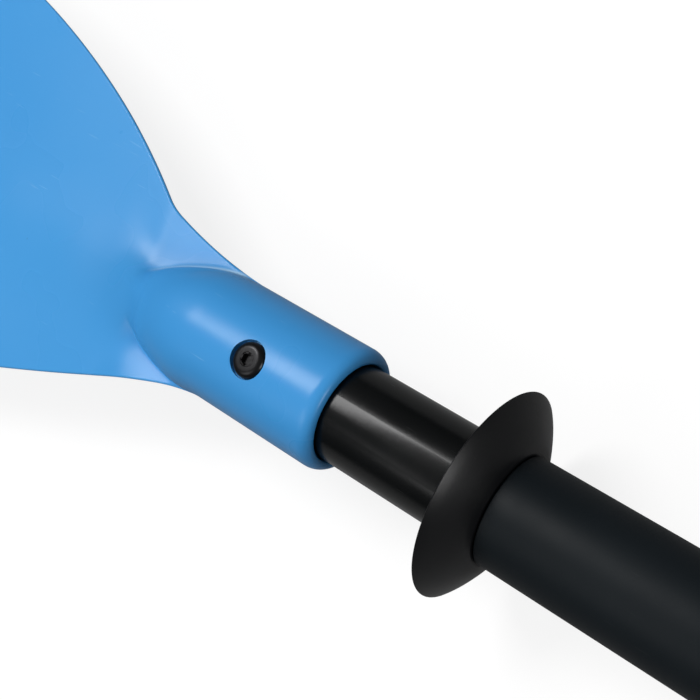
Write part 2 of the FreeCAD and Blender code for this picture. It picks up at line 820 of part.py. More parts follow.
def make_stop_collar(doc, s):
    """Split collar whose flange stops the oar in its oarlock."""
    body = new_body(doc, "stop_collar")
    face = s.collar_face_x
    back = face - s.collar_long
    bore = s.sleeve_dia / 2 + s.slip_gap
    hub = s.collar_hub_dia / 2
    edge = s.flange_dia / 2
    step = face - s.flange_thick
    bevel = s.collar_bevel
    sketch = sketch_on(body, "collar_profile", "XZ_Plane")
    outline(sketch, [
        (back, bore), (back, hub - bevel), (back + bevel, hub),
        (step - bevel, hub), (step, hub + bevel), (step, edge - bevel), (step + bevel, edge),
        (face - bevel, edge), (face, edge - bevel), (face, bore)])
    revolve(body, "collar_turned", sketch)
    lug_start = back + s.lug_inset
    lug = sketch_on(body, "lug_profile", "XY_Plane")
    outline(lug, [
        (lug_start, s.sleeve_dia / 2 + s.collar_bevel),
        (lug_start + s.lug_wide, s.sleeve_dia / 2 + s.collar_bevel),
        (lug_start + s.lug_wide, s.lug_reach), (lug_start, s.lug_reach)])
    lugs = pad(body, "lugs", lug, s.lug_tall, both_ways=True)
    doc.recompute()
    corner = plain(s.lug_reach) - 0.01
    names = edges_where(lugs, lambda edge, middle: middle.y > corner)
    dress(body, "lug_round", "PartDesign::Fillet", lugs, names, s.collar_bevel)
    slit = sketch_on(body, "slit_profile", "XY_Plane")
    outline(slit, [
        (back - s.collar_bevel, 0.0), (face + s.collar_bevel, 0.0),
        (face + s.collar_bevel, s.flange_dia), (back - s.collar_bevel, s.flange_dia)])
    cut(body, "slit", slit, s.slit_gap, both_ways=True)
    x, y = clamp_place(s)
    hole = sketch_on(body, "clamp_hole_profile", "XY_Plane")
    ring_outline(hole, x, y, s.screw_dia / 2 + s.screw_gap)
    cut(body, "clamp_hole", hole, s.flange_dia, both_ways=True)
    head = sketch_on(body, "clamp_head_profile", "XY_Plane", s.lug_tall / 2 - s.clamp_sink)
    ring_outline(head, x, y, s.cap_head_dia / 2 + s.screw_gap)
    cut(body, "clamp_head_seat", head, s.lug_tall, reverse=True)
    nut = sketch_on(body, "clamp_nut_profile", "XY_Plane", s.clamp_sink - s.lug_tall / 2)
    hexagon(nut, x, y, s.nut_flats + s.nut_gap * 2)
    cut(body, "clamp_nut_seat", nut, s.lug_tall)
    return body


def make_collar_screw(doc, s):
    """Socket-cap screw that closes the collar's slit."""
    body = new_body(doc, "collar_screw")
    x, y = clamp_place(s)
    seat = s.lug_tall / 2 - s.clamp_sink
    head = sketch_on(body, "cap_head_outline", "XY_Plane", seat)
    ring_outline(head, x, y, s.cap_head_dia / 2)
    top = pad(body, "cap_head", head, s.screw_dia)
    doc.recompute()
    crown = plain(seat + s.screw_dia) - 0.01
    names = edges_where(top, lambda edge, middle: middle.z > crown)
    dress(body, "cap_head_bevel", "PartDesign::Chamfer", top, names, s.screw_brim)
    shank = sketch_on(body, "cap_shank_outline", "XY_Plane", seat - s.clamp_long)
    ring_outline(shank, x, y, s.screw_dia / 2)
    pad(body, "cap_shank", shank, s.clamp_long)
    socket = sketch_on(body, "cap_socket_outline", "XY_Plane", seat + s.screw_dia)
    hexagon(socket, x, y, s.cap_hex)
    cut(body, "cap_socket", socket, s.screw_dia / 2)
    return body


def make_handle_grip(doc, s):
    """Moulded grip: hand part with finger grooves and a stop flange at the butt."""
    body = new_body(doc, "handle_grip")
    butt = s.butt_x
    end = butt + s.grip_long
    bore = s.tube_dia / 2 + s.sleeve_gap
    lip = s.grip_lip
    big = s.grip_butt_dia / 2
    swell = s.grip_dia / 2
    sketch = sketch_on(body, "grip_profile", "XZ_Plane")
    outline(sketch, [
        (butt, bore), (butt, big - lip), (butt + lip, big), (butt + lip * 2, big),
        (butt + lip * 5, swell), (end, swell), (end, bore)])
    revolve(body, "grip_turned", sketch)
    doc.recompute()
    groove = sketch_on(body, "groove_profile", "XZ_Plane")
    floor = swell - s.groove_deep
    wide = s.groove_wide
    start = (butt + end + lip - s.groove_pitch * (s.groove_count - 1) - wide) / 2
    outline(groove, [
        (start, floor), (start + wide, floor), (start + wide, swell + wide), (start, swell + wide)])
    ring = revolve(body, "finger_groove", groove, "PartDesign::Groove")
    doc.recompute()
    row = body.newObject("PartDesign::LinearPattern", "finger_grooves")
    row.Originals = [ring]
    row.Direction = (groove, ["H_Axis"])
    row.setExpression("Length", (s.groove_pitch * (s.groove_count - 1)).text)
    row.Occurrences = int(s.groove_count.number)
    body.Tip = row
    return body


def make_end_cap(doc, s):
    """Bevelled cap that closes the butt, its stem pressed into the shaft."""
    body = new_body(doc, "grip_end_cap")
    butt = s.butt_x - s.slip_gap
    edge = s.grip_butt_dia / 2 - s.grip_lip
    stem = s.tube_dia / 2 - s.tube_wall - s.slip_gap
    sketch = sketch_on(body, "cap_profile", "XZ_Plane")
    outline(sketch, [
        (butt - s.cap_thick, 0.0), (butt - s.cap_thick, stem), (butt - s.cap_rim, edge),
        (butt, edge), (butt, stem), (butt + s.cap_stem, stem), (butt + s.cap_stem, 0.0)])
    revolve(body, "cap_turned", sketch)
    return body


def build():
    doc = FreeCAD.newDocument("oar")
    s = Sizes(doc, DRIVING)
    make_blade(doc, s)
    make_blade_screw(doc, s)
    make_socket_plug(doc, s)
    make_hex_nut(doc, s, "plug_nut", s.mouth_x + s.screw_run, 0.0, s.nut_low)
    make_lower_shaft(doc, s)
    make_sleeve(doc, s, "lower_sleeve", s.joint_x + s.bare_half, s.mouth_x - s.neck_to_sleeve)
    make_float_plug(doc, s, "lower_float_plug", s.joint_x + s.float_run)
    make_drip_ring(doc, s)
    make_spigot(doc, s)
    make_spigot_rivets(doc, s)
    make_snap_button(doc, s)
    make_snap_spring(doc, s)
    make_upper_shaft(doc, s)
    make_sleeve(doc, s, "upper_sleeve", s.butt_x + s.grip_long + s.joint_gap,
                s.joint_x - s.bare_half)
    make_float_plug(doc, s, "upper_float_plug", s.joint_x - s.float_run - s.float_long)
    make_stop_collar(doc, s)
    make_collar_screw(doc, s)
    clamp_x, clamp_y = clamp_place(s)
    make_hex_nut(doc, s, "collar_nut", clamp_x, clamp_y,
                 s.clamp_sink - s.lug_tall / 2 - s.nut_tall)
    make_handle_grip(doc, s)
    make_end_cap(doc, s)
    doc.recompute()
    export(doc)


def export(doc):
    """Check every object and write each piece to its own file."""
    failed = [obj.Name for obj in doc.Objects if {"Invalid", "Error"} & set(obj.State)]
    if failed:
        raise RuntimeError("failed features: " + ", ".join(failed))
    os.makedirs(NODE_FOLDER, exist_ok=True)
    for body in doc.findObjects("PartDesign::Body"):
        shape = body.Shape
        if shape.isNull() or not shape.isValid():
            raise RuntimeError("bad shape: " + body.Label)
        shape.exportStep(os.path.join(NODE_FOLDER, body.Label + ".step"))
        print("%-18s %10.1f mm3, %d solid(s)" % (body.Label, shape.Volume, len(shape.Solids)))


build()
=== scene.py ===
import math
import bmesh
import bpy
from mathutils import Matrix, Vector


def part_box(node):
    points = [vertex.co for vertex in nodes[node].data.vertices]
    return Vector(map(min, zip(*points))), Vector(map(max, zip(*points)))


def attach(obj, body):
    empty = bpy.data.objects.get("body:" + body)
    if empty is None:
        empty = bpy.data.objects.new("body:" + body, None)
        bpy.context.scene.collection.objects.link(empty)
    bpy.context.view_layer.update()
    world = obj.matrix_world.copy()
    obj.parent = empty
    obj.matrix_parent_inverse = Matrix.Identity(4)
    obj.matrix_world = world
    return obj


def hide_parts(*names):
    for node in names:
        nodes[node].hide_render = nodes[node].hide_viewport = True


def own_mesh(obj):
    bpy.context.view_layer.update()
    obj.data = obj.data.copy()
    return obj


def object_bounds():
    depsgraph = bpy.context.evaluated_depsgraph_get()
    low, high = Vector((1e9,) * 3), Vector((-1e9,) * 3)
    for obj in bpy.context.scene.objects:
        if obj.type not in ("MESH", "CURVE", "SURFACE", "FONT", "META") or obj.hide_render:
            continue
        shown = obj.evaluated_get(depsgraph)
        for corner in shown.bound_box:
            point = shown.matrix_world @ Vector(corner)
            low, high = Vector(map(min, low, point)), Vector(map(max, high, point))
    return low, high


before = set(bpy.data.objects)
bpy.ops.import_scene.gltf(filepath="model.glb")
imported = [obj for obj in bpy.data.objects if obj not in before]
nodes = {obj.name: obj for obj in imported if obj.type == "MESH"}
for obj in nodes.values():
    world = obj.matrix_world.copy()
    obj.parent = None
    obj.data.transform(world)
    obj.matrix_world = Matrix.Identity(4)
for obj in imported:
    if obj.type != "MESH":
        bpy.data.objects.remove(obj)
cadLow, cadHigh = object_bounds()
mm = 0.001
weldGap = 2e-6  # metres: points nearer than this become one
shortEdge = 1e-7  # metres: edges shorter than this are dissolved
print("frame loaded:", len(nodes), "nodes")


def tangentArcs(points, heading):
    # arcs through the points, each tangent to the one before; heading is the first direction in radians
    arcs = []
    for start, end in zip(points, points[1:]):
        span = Vector(end) - Vector(start)
        turn = math.atan2(span.y, span.x) - heading
        turn = math.atan2(math.sin(turn), math.cos(turn))
        radius = span.length / (2 * math.sin(turn))  # above 0 turns left
        centre = Vector(start) + radius * Vector((-math.sin(heading), math.cos(heading)))
        arcs.append({"from": min(start[0], end[0]), "to": max(start[0], end[0]),
                     "centre": centre, "radius": abs(radius), "convex": centre.y < start[1]})
        heading += 2 * turn
    return sorted(arcs, key=lambda arc: arc["from"])


def arcAt(arcs, run):
    for arc in arcs:
        if run <= arc["to"]:
            return arc
    return arcs[-1]


def heightOnArc(arc, run):
    rise = math.sqrt(max(0.0, arc["radius"] ** 2 - (run - arc["centre"].x) ** 2))
    return arc["centre"].y + (rise if arc["convex"] else -rise)


def insideArc(arc, run, half):
    reach = math.hypot(run - arc["centre"].x, half - arc["centre"].y)
    return arc["radius"] - reach if arc["convex"] else reach - arc["radius"]


def smoothStep(low, high, value):
    share = min(1.0, max(0.0, (value - low) / (high - low)))
    return share * share * (3 - 2 * share)


def along(knots, run):
    # smooth curve through (run, value) knots
    if run <= knots[0][0]:
        return knots[0][1]
    for index in range(len(knots) - 1):
        (runA, valueA), (runB, valueB) = knots[index], knots[index + 1]
        if run <= runB:
            before = knots[max(0, index - 1)]
            after = knots[min(len(knots) - 1, index + 2)]
            slopeA = (valueB - before[1]) / (runB - before[0])
            slopeB = (after[1] - valueA) / (after[0] - runA)
            width = runB - runA
            share = (run - runA) / width
            late = share * share * (3 - 2 * share)
            bend = slopeA * share * (1 - share) ** 2 - slopeB * share ** 2 * (1 - share)
            return valueA * (1 - late) + valueB * late + width * bend
    return knots[-1][1]


def softMax(first, second, soft):
    # the larger of two heights, with the crossing rounded over about soft
    return 0.5 * (first + second + math.sqrt((first - second) ** 2 + soft * soft))


def finishMesh(name, shape, finish, body, sharp=40):
    # a bmesh in metres becomes a piece; faces meeting at more than sharp degrees keep their edge
    bmesh.ops.remove_doubles(shape, verts=shape.verts, dist=weldGap)
    bmesh.ops.dissolve_degenerate(shape, edges=shape.edges, dist=shortEdge)
    bmesh.ops.recalc_face_normals(shape, faces=shape.faces)
    mesh = bpy.data.meshes.new(name)
    shape.to_mesh(mesh)
    shape.free()
    for face in mesh.polygons:
        face.use_smooth = True
    mesh.set_sharp_from_angle(angle=math.radians(sharp))
    piece = bpy.data.objects.new(name, mesh)
    bpy.context.scene.collection.objects.link(piece)
    mesh.materials.append(finish)
    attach(piece, body)
    return piece


def spinShape(profile, segments=160, closed=True):
    # turns an outline of (x, radius) points in mm round the shaft's axis
    shape = bmesh.new()
    ring = [shape.verts.new((run * mm, 0, radius * mm)) for run, radius in profile]
    pairs = list(zip(ring, ring[1:])) + ([(ring[-1], ring[0])] if closed else [])
    edges = [shape.edges.new(pair) for pair in pairs]
    bmesh.ops.spin(shape, geom=ring + edges, cent=(0, 0, 0), axis=(1, 0, 0), angle=2 * math.pi,
                   steps=segments, use_merge=True)
    return shape


def spinUpright(profile, x, y, segments=72, tilt=0):
    # turns an outline of (radius, height) points in mm round an upright line, tilted about X in degrees
    shape = bmesh.new()
    ring = [shape.verts.new((across * mm, 0, high * mm)) for across, high in profile]
    edges = [shape.edges.new(pair) for pair in zip(ring, ring[1:])]
    bmesh.ops.spin(shape, geom=ring + edges, cent=(0, 0, 0), axis=(0, 0, 1), angle=2 * math.pi,
                   steps=segments, use_merge=True)
    place = Matrix.Translation((x * mm, y * mm, 0)) @ Matrix.Rotation(math.radians(tilt), 4, "X")
    bmesh.ops.transform(shape, matrix=place, verts=shape.verts)
    return shape


def addCone(tool, x, y, low, high, lowRadius, highRadius, segments):
    # an upright bar or cone added to a tool, all in mm
    bmesh.ops.create_cone(tool, cap_ends=True, segments=segments, radius1=lowRadius * mm,
                          radius2=highRadius * mm, depth=(high - low) * mm,
                          matrix=Matrix.Translation((x * mm, y * mm, (low + high) / 2 * mm)))


def uprightTool(x, y, low, high, radius, segments=64):
    tool = bmesh.new()
    addCone(tool, x, y, low, high, radius, radius, segments)
    return tool


def boxTool(centre, size):
    # a straight block, both in mm
    tool = bmesh.new()
    place = Matrix.Translation([part * mm for part in centre])
    place = place @ Matrix.Diagonal([part * mm for part in size] + [1])
    bmesh.ops.create_cube(tool, size=1, matrix=place)
    return tool


def applyModifiers(piece):
    bpy.context.view_layer.update()
    evaluated = piece.evaluated_get(bpy.context.evaluated_depsgraph_get())
    done = bpy.data.meshes.new_from_object(evaluated)
    piece.modifiers.clear()
    old, piece.data = piece.data, done
    bpy.data.meshes.remove(old)


def applyCut(piece, tool, operation="DIFFERENCE", crossing=False):
    # cuts or joins a bmesh shape with a piece; crossing is for a tool whose own parts overlap
    mesh = bpy.data.meshes.new("tool")
    bmesh.ops.recalc_face_normals(tool, faces=tool.faces)
    tool.to_mesh(mesh)
    tool.free()
    cutter = bpy.data.objects.new("tool", mesh)
    bpy.context.scene.collection.objects.link(cutter)
    cut = piece.modifiers.new("cut", "BOOLEAN")
    cut.object = cutter
    cut.operation = operation
    cut.solver = "EXACT"
    cut.use_self = crossing
    applyModifiers(piece)
    bpy.data.objects.remove(cutter)


def roundCorner(corner, before, after, radius, steps=6):
    # points of a rounded corner between two straight sides of a profile
    corner, before, after = Vector(corner), Vector(before), Vector(after)
    toBefore, toAfter = (before - corner).normalized(), (after - corner).normalized()
    half = toBefore.angle(toAfter) / 2
    reach = min(radius / math.tan(half), 0.49 * (before - corner).length, 0.49 * (after - corner).length)
    radius = reach * math.tan(half)
    centre = corner + (toBefore + toAfter).normalized() * radius / math.sin(half)
    start, end = corner + toBefore * reach - centre, corner + toAfter * reach - centre
    swing = start.angle_signed(end)
    return [tuple(centre + Matrix.Rotation(-swing * step / steps, 2) @ start) for step in range(steps + 1)]


def roundProfile(corners, steps=6):
    # corners are (x, radius, round); a round of 0 keeps the corner sharp
    profile = []
    for index, (run, radius, blend) in enumerate(corners):
        if blend == 0:
            profile.append((run, radius))
            continue
        before, after = corners[index - 1], corners[(index + 1) % len(corners)]
        profile += roundCorner((run, radius), before[:2], after[:2], blend, steps)
    return profile


def newFinish(name):
    finish = bpy.data.materials.new(name)
    finish.use_nodes = True
    shader = finish.node_tree.nodes["Principled BSDF"]
    return finish, finish.node_tree, shader


def addNode(tree, kind, inputs=None, **settings):
    made = tree.nodes.new(kind)
    for key, value in settings.items():
        setattr(made, key, value)
    for key, value in (inputs or {}).items():
        if isinstance(value, bpy.types.NodeSocket):
            tree.links.new(value, made.inputs[key])
        else:
            made.inputs[key].default_value = value
    return made


def objectPlace(tree, scale=(1, 1, 1), turn=(0, 0, 0)):
    place = addNode(tree, "ShaderNodeTexCoord")
    mapping = addNode(tree, "ShaderNodeMapping", {"Vector": place.outputs["Object"],
                      "Rotation": [math.radians(angle) for angle in turn], "Scale": scale})
    return mapping.outputs["Vector"]


def noiseAt(tree, place, scale, detail=3.0):
    made = addNode(tree, "ShaderNodeTexNoise", {"Vector": place, "Scale": scale, "Detail": detail})
    return made.outputs["Fac"]


def fitRange(tree, value, low, high, newLow=0.0, newHigh=1.0):
    made = addNode(tree, "ShaderNodeMapRange", {"Value": value, "From Min": low, "From Max": high,
                   "To Min": newLow, "To Max": newHigh})
    return made.outputs["Result"]


def combine(tree, operation, first, second):
    made = addNode(tree, "ShaderNodeMath", operation=operation)
    for index, value in enumerate((first, second)):
        if isinstance(value, bpy.types.NodeSocket):
            tree.links.new(value, made.inputs[index])
        else:
            made.inputs[index].default_value = value
    return made.outputs["Value"]


def mixColour(tree, share, first, second):
    made = addNode(tree, "ShaderNodeMix", data_type="RGBA")
    for socket, value in ((made.inputs[0], share), (made.inputs[6], first), (made.inputs[7], second)):
        if isinstance(value, bpy.types.NodeSocket):
            tree.links.new(value, socket)
        else:
            socket.default_value = value
    return made.outputs[2]


def addBump(tree, shader, height, strength, distance):
    made = addNode(tree, "ShaderNodeBump", {"Height": height, "Strength": strength, "Distance": distance})
    tree.links.new(made.outputs["Normal"], shader.inputs["Normal"])


def hairScratches(tree, turn, length, width, amount):
    # sparse fine straight marks, longer than wide
    place = objectPlace(tree, scale=(1 / length, 1 / width, 1 / width), turn=turn)
    lines = noiseAt(tree, place, 1.0, detail=1.0)
    return fitRange(tree, lines, 1 - amount, 1 - amount * 0.5)


def colour(red, green, blue):
    # a colour as seen on a screen, 0 to 255, as the shader's linear value
    def linear(value):
        value /= 255
        return value / 12.92 if value <= 0.04045 else ((value + 0.055) / 1.055) ** 2.4
    return (linear(red), linear(green), linear(blue), 1.0)


bladeFinish = {
    "base": colour(66, 153, 220), "light": colour(77, 162, 225), "deep": colour(56, 145, 214),
    # the pale crease colour on the next line is a painted highlight along the crease beside the nose
    "mark": colour(150, 205, 244), "paintedHighlight": colour(190, 225, 250), "dirt": colour(34, 92, 140),
    "roughness": 0.28, "shine": 0.23, "cloudScale": 7.0, "patchScale": 16.0, "speckScale": 38.0,
    "speckSize": 0.022, "grainScale": 420.0, "waveScale": 26.0, "bump": 0.12, "bumpDeep": 0.0006,
    "roughScale": 35.0, "scuffRough": 0.15, "scuffShare": 0.5, "speckShare": 0.35, "highlightShare": 0.8,
    "grainShare": 0.06,
    # scuffs: direction in degrees, length and width in metres, share of the surface
    "scuffs": [((0, 0, 38), 0.012, 0.0009, 0.25), ((0, 0, -61), 0.016, 0.0011, 0.25)],
}


def softSpots(tree, place, scale, size):
    # small round spots of one size scattered at random, 1 in a spot and 0 between
    cells = addNode(tree, "ShaderNodeTexVoronoi", {"Vector": place, "Scale": scale, "Randomness": 1.0})
    return fitRange(tree, cells.outputs["Distance"], size, size * 0.4)


def makeBladeFinish():
    finish, tree, shader = newFinish("moulded_blade_plastic")
    place = objectPlace(tree)
    look = bladeFinish
    cloud = fitRange(tree, noiseAt(tree, place, look["cloudScale"], detail=1.0), 0.2, 0.8)
    body = mixColour(tree, cloud, look["deep"], look["light"])
    body = mixColour(tree, 0.5, body, look["base"])
    first, second = [hairScratches(tree, *scuff) for scuff in look["scuffs"]]
    patch = fitRange(tree, noiseAt(tree, place, look["patchScale"], detail=1.0), 0.42, 0.7)
    scuffs = combine(tree, "MULTIPLY", combine(tree, "ADD", first, second), patch)
    marked = mixColour(tree, combine(tree, "MULTIPLY", scuffs, look["scuffShare"]), body, look["mark"])
    specks = softSpots(tree, place, look["speckScale"], look["speckSize"])
    marked = mixColour(tree, combine(tree, "MULTIPLY", specks, look["speckShare"]), marked, look["dirt"])
    # painted highlight: a pale line along the crease beside the nose, from the attribute that makeBlade sets
    painted_crease_highlight = addNode(tree, "ShaderNodeAttribute", attribute_name="painted_crease_highlight")  # set by makeBlade
    paintedHighlight = combine(tree, "MULTIPLY", painted_crease_highlight.outputs["Fac"], look["highlightShare"])
    marked = mixColour(tree, paintedHighlight, marked, look["paintedHighlight"])
    tree.links.new(marked, shader.inputs["Base Color"])
    rough = fitRange(tree, noiseAt(tree, place, look["roughScale"], detail=2.0), 0.2, 0.8,
                     look["roughness"] - 0.05, look["roughness"] + 0.07)
    rough = combine(tree, "ADD", rough, combine(tree, "MULTIPLY", scuffs, look["scuffRough"]))
    tree.links.new(rough, shader.inputs["Roughness"])
    grain = noiseAt(tree, place, look["grainScale"], detail=3.0)
    grain = combine(tree, "MULTIPLY", grain, look["grainShare"])
    height = combine(tree, "ADD", grain, noiseAt(tree, place, look["waveScale"], detail=1.0))
    addBump(tree, shader, height, look["bump"], look["bumpDeep"])
    shader.inputs["Specular IOR Level"].default_value = look["shine"]
    return finish


plainColours = {
    "shaft": colour(5, 7, 8), "sleeve": colour(14, 20, 24), "ring": colour(9, 10, 12),
    "plastic": colour(22, 23, 25), "grip": colour(25, 26, 28), "screw": colour(20, 20, 22),
    "foam": colour(226, 226, 220), "dust": colour(120, 122, 124),
}


plainLook = {
    "cloudScale": 22.0, "cloudShare": 0.6, "roughScale": 60.0, "bump": 0.35, "scratchRough": 0.2,
    "dustShare": 0.12,
    # scratches: direction in degrees, length and width in metres, share of the surface
    "scratches": [((0, 0, 20), 0.012, 0.0006, 0.26), ((40, 15, 91), 0.008, 0.0005, 0.26)],
}


def makePlainFinish(name, key, roughness, shine, grainScale, grainDepth, wear=0.3, metal=0.0):
    finish, tree, shader = newFinish(name)
    place = objectPlace(tree)
    look = plainLook
    base = plainColours[key]
    lighter = [min(1.0, part * 1.5 + 0.002) for part in base[:3]] + [1.0]
    cloud = noiseAt(tree, place, look["cloudScale"], detail=3.0)
    body = mixColour(tree, fitRange(tree, cloud, 0.25, 0.8, 0.0, look["cloudShare"]), base, lighter)
    first, second = [hairScratches(tree, *scratch) for scratch in look["scratches"]]
    scratches = combine(tree, "ADD", first, second)
    dusty = combine(tree, "MULTIPLY", scratches, wear * look["dustShare"])
    dusty = mixColour(tree, dusty, body, plainColours["dust"])
    tree.links.new(dusty, shader.inputs["Base Color"])
    rough = fitRange(tree, noiseAt(tree, place, look["roughScale"], detail=4.0), 0.2, 0.8,
                     roughness - 0.05, roughness + 0.07)
    worn = combine(tree, "MULTIPLY", scratches, look["scratchRough"] * wear)
    tree.links.new(combine(tree, "ADD", rough, worn), shader.inputs["Roughness"])
    addBump(tree, shader, noiseAt(tree, place, grainScale, detail=3.0), look["bump"], grainDepth)
    shader.inputs["Metallic"].default_value = metal
    shader.inputs["Specular IOR Level"].default_value = shine
    return finish


metalLook = {"grainScale": 900.0, "darkShare": 0.7, "bump": 0.2, "bumpDeep": 0.00004}


def makeMetalFinish(name, tint, roughness, stretch):
    # bare metal with a fine grain; stretch sets the way the grain runs
    finish, tree, shader = newFinish(name)
    look = metalLook
    grain = noiseAt(tree, objectPlace(tree, scale=stretch), look["grainScale"], detail=2.0)
    dark = [part * look["darkShare"] for part in tint[:3]] + [1.0]
    body = mixColour(tree, fitRange(tree, grain, 0.3, 0.7), dark, tint)
    tree.links.new(body, shader.inputs["Base Color"])
    rough = fitRange(tree, grain, 0.3, 0.7, roughness - 0.05, roughness + 0.1)
    tree.links.new(rough, shader.inputs["Roughness"])
    addBump(tree, shader, grain, look["bump"], look["bumpDeep"])
    shader.inputs["Metallic"].default_value = 1.0
    return finish


finishes = {
    # the numbers are roughness, shine, and the grain's scale and depth
    "blade": makeBladeFinish(),
    "shaft": makePlainFinish("gloss_black_tube", "shaft", 0.22, 0.24, 700.0, 0.00002, wear=0.4),
    "sleeve": makePlainFinish("matte_black_sleeve", "sleeve", 0.5, 0.13, 1400.0, 0.00004, wear=0.35),
    "ring": makePlainFinish("soft_black_rubber", "ring", 0.36, 0.22, 1500.0, 0.00003, wear=0.5),
    "plastic": makePlainFinish("moulded_black_plastic", "plastic", 0.45, 0.3, 900.0, 0.00004),
    "grip": makePlainFinish("grip_rubber", "grip", 0.65, 0.2, 1100.0, 0.00008),
    "screw": makePlainFinish("black_oxide_steel", "screw", 0.28, 0.5, 1600.0, 0.00002, metal=0.6),
    "foam": makePlainFinish("closed_cell_foam", "foam", 0.85, 0.1, 500.0, 0.0003),
    "zinc": makeMetalFinish("bright_zinc_steel", colour(176, 180, 184), 0.3, (0.2, 1, 1)),
    "rivet": makeMetalFinish("rivet_aluminium", colour(190, 192, 195), 0.35, (1, 1, 0.3)),
    "spring": makeMetalFinish("spring_steel", colour(140, 142, 146), 0.3, (0.2, 1, 1)),
}
print("finishes made:", len(finishes))


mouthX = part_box("blade")[0].x / mm  # where the neck begins, in mm along the shaft
bladeSizes = {
    # all in mm, runs counted from the neck's mouth towards the tip
    "neckRadius": 17.9, "neckLong": 44.0, "boreRadius": 14.3, "boreDeep": 50.0, "lipRound": 2.6,
    "lipLong": 3.8, "mouthBevel": 0.8,
    # outline, as (run, half width): each flank from the widest place back to the neck, and the tip
    "widest": 252.0,
    "flankUpper": [(252, 75), (120, 46.2), (86, 27.2), (79, 23.9), (44, 17.9)],
    "flankLower": [(252, 75), (150, 57.4), (84, 31.1), (60, 21.4), (44, 17.9)],
    "tip": [(252, 75), (390, 68), (423.4, 49.2), (423.4, -49.2)],
    # shown side of the nose: its top line, and its half width on each side of the shaft's line
    "crownTop": [(44, 17.9), (50, 17.85), (57, 17.0), (62, 15.7), (66, 14.2), (70, 12.2), (74, 10.1),
                 (79, 7.9), (84, 6.4), (92, 5.2)],
    "crownUpper": [(44, 17.9), (51, 17.6), (55.5, 16.6), (60.6, 15.0), (66, 12.8), (71, 10.4), (75, 8.0),
                   (79, 5.6), (84, 4.4), (92, 4.0)],
    "crownLower": [(44, 17.9), (52, 18.3), (59.4, 17.0), (64.2, 15.7), (69.5, 13.9), (73, 11.9), (77, 9.4),
                   (81, 8.0), (92, 7.0)],
    # low swell that carries the nose on into the face: height and half width
    "swellTall": [(72, 8.0), (76, 5.9), (80, 4.0), (84, 2.6), (90, 1.1), (97, 0.4), (106, 0.1), (120, 0.0)],
    "swellUpper": [(72, 6.7), (76, 6.0), (80, 6.2), (84, 7.2), (90, 10.0), (97, 15.0), (106, 20.0)],
    "swellLower": [(72, 10.0), (76, 11.0), (80, 13.0), (84, 15.0), (90, 18.0), (97, 22.0), (106, 26.0)],
    # back of the nose: round, its radius falling to the spine
    "crownBack": [(44, 17.9), (53, 17.6), (57, 17.06), (60, 16.47), (66, 14.8), (74, 12.1), (84, 8.8),
                  (94, 5.4), (106, 1.4), (112, -1.0)],
    # plate: height of the face on the centre line, hollow across it, and thickness
    "faceRise": [(84, 3.1), (140, 3.4), (200, 4.2), (260, 6.3), (320, 9.5), (380, 14.0), (446, 21.0)],
    "hollow": [(42, 0.6), (84, 1.6), (140, 2.8), (200, 4.0), (320, 5.0), (446, 4.0)],
    "hollowHalf": 92.0, "thickCentre": 5.0, "thickEdge": 3.4, "thinEdge": 1.4, "edgeTaper": 4.5,
    # gussets: where they fold down from the face, how steep they are and how round the fold is
    "foldUpper": (78.6, 0.16), "fallUpper": (0.05, 1.1, 7.0), "bendUpper": 2.0,
    "foldLower": (84.0, -0.53), "fallLower": (0.03, 0.8, 10.0), "bendLower": 4.0,
    # lift of the face beside the nose on the +Y side
    "liftLower": 0.22, "liftSoft": 0.8, "liftFade": (60.0, 81.0),
    # spine behind: height of its crest, half widths, its end, how it flares out and how it sinks away
    "spineCrest": [(78, -6.4), (200, -1.4), (350, 9.4)], "spineWide": 7.0, "spineTop": 3.0, "spineEnd": 350.0,
    "spineFlare": 4.6, "spineSink": 12.0,
    # low ridge down the middle of the face: where it grows and where it fades
    "ridgeTall": 0.9, "ridgeHalf": 13.0, "ridgeGrow": (84, 112), "ridgeFade": (150, 300),
    # crease beside the nose, the ends of the nose's run-out, and where the plate grows from the neck
    "creaseRound": 1.3, "creaseGrow": (44, 56), "skirtSteep": 1.2, "footGrow": (44, 60),
    "throatUpper": (72.0, 83.0), "throatLower": (68.0, 79.0), "throatBlend": 6.0,
    "plateGrow": (43, 56), "backTight": 0.6, "backSoft": 5.0, "backFade": (78, 96), "ribSoft": 0.8,
    "edgeRound": 0.55, "columns": 240,
    # painted highlight line in the crease: how far out, how wide, where it grows and fades
    "highlightOut": 0.2, "highlightWide": 0.6, "highlightGrow": (47, 53), "highlightFade": (74, 80),
    # rows of the skin: along the neck as (spacing, how many), then as (first run, spacing, how many)
    "neckRows": (0.8, 48), "skinRows": [(43.0, 0.5, 124), (105.0, 1.6, 60), (202.0, 3.2, 66)], "tipRows": 34,
}
upperFlank = tangentArcs(bladeSizes["flankUpper"], math.pi)
lowerFlank = tangentArcs(bladeSizes["flankLower"], math.pi)
tipArcs = tangentArcs(bladeSizes["tip"], 0.0)
tipArcs[-1]["to"] = tipArcs[-1]["centre"].x + tipArcs[-1]["radius"]
tipRun = tipArcs[-1]["to"]


def flankAt(run, upper):
    if run > bladeSizes["widest"]:
        return arcAt(tipArcs, run)
    return arcAt(upperFlank if upper else lowerFlank, run)


